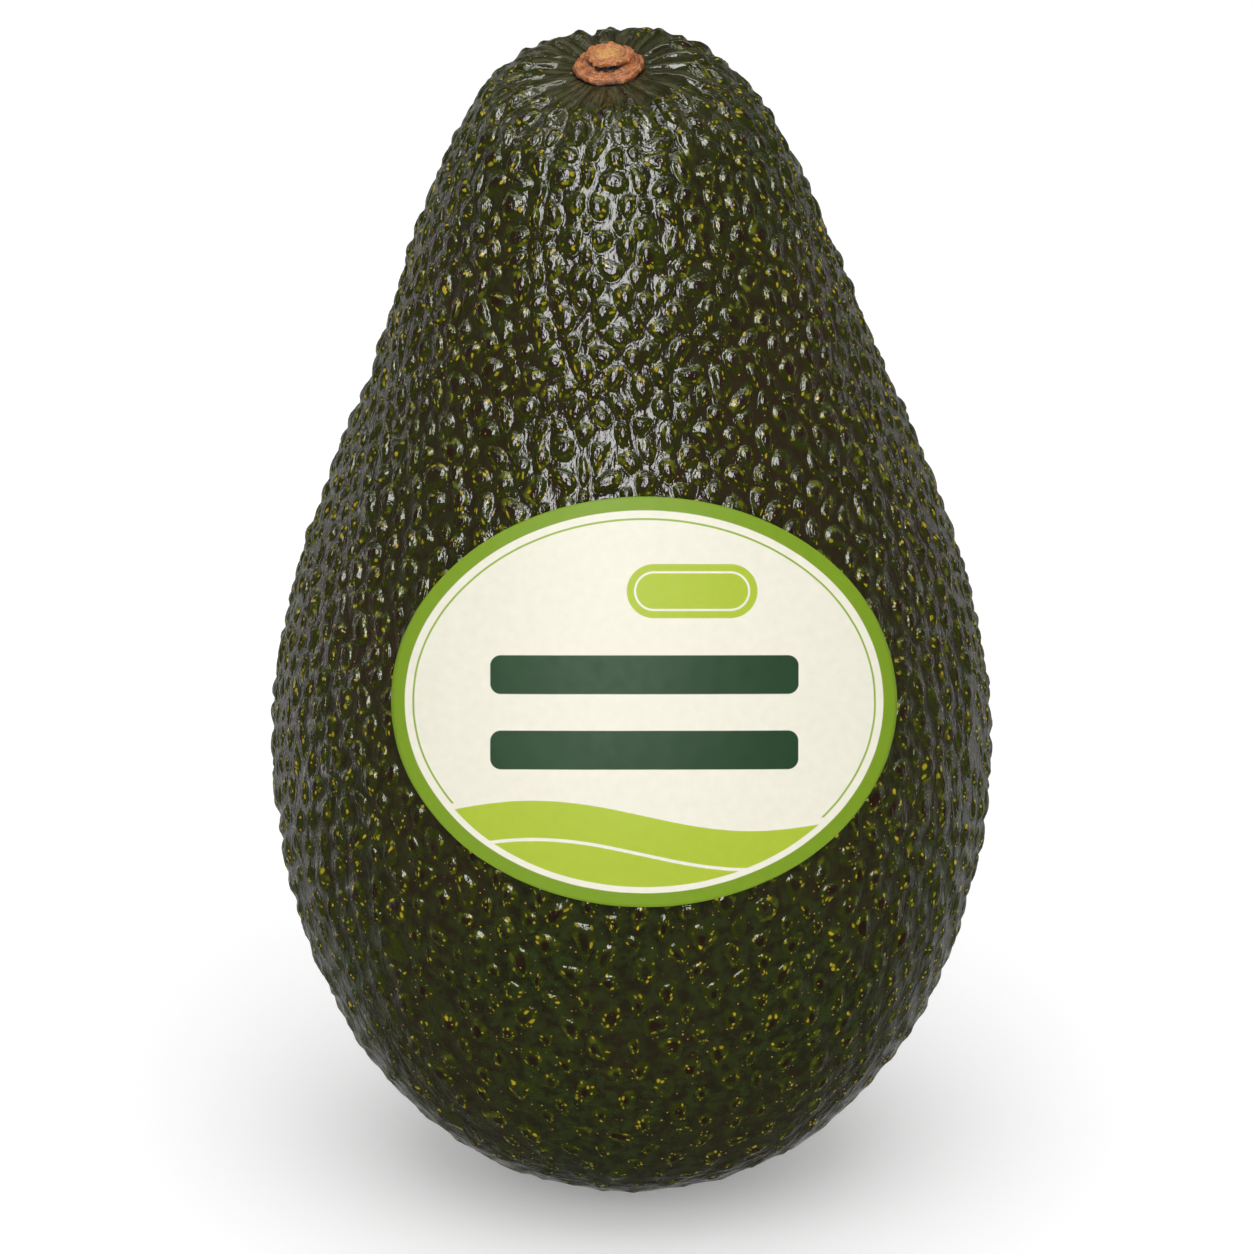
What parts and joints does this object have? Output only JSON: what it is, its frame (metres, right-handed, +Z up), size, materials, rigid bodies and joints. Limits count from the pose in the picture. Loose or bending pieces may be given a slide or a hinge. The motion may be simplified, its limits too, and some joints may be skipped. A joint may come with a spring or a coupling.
{
  "type": "avocado",
  "caption": "Whole ripe avocado standing on its broad end, with a pebbled dark green skin, a woody stem button in a shallow hollow, and an oval sticker on its front.",
  "frame": {"origin": "centre of the small flat spot that the fruit rests on, at its lowest point", "axes": "+Z up, from the broad end to the stem end; -Y to the front, where the sticker is; +X to the right seen from the front"},
  "size_m": [0.063, 0.0636, 0.1053],
  "materials": {
    "avocado_skin": "pebbled waxy skin, half gloss",
    "dry_stem_wood": "dry, cracked, matt",
    "label_film": "printed sticker, smooth, half gloss"
  },
  "bodies": {
    "root": {"fruit": "avocado_skin", "stem_button": "dry_stem_wood", "label": "label_film"}
  },
  "joints": []
}
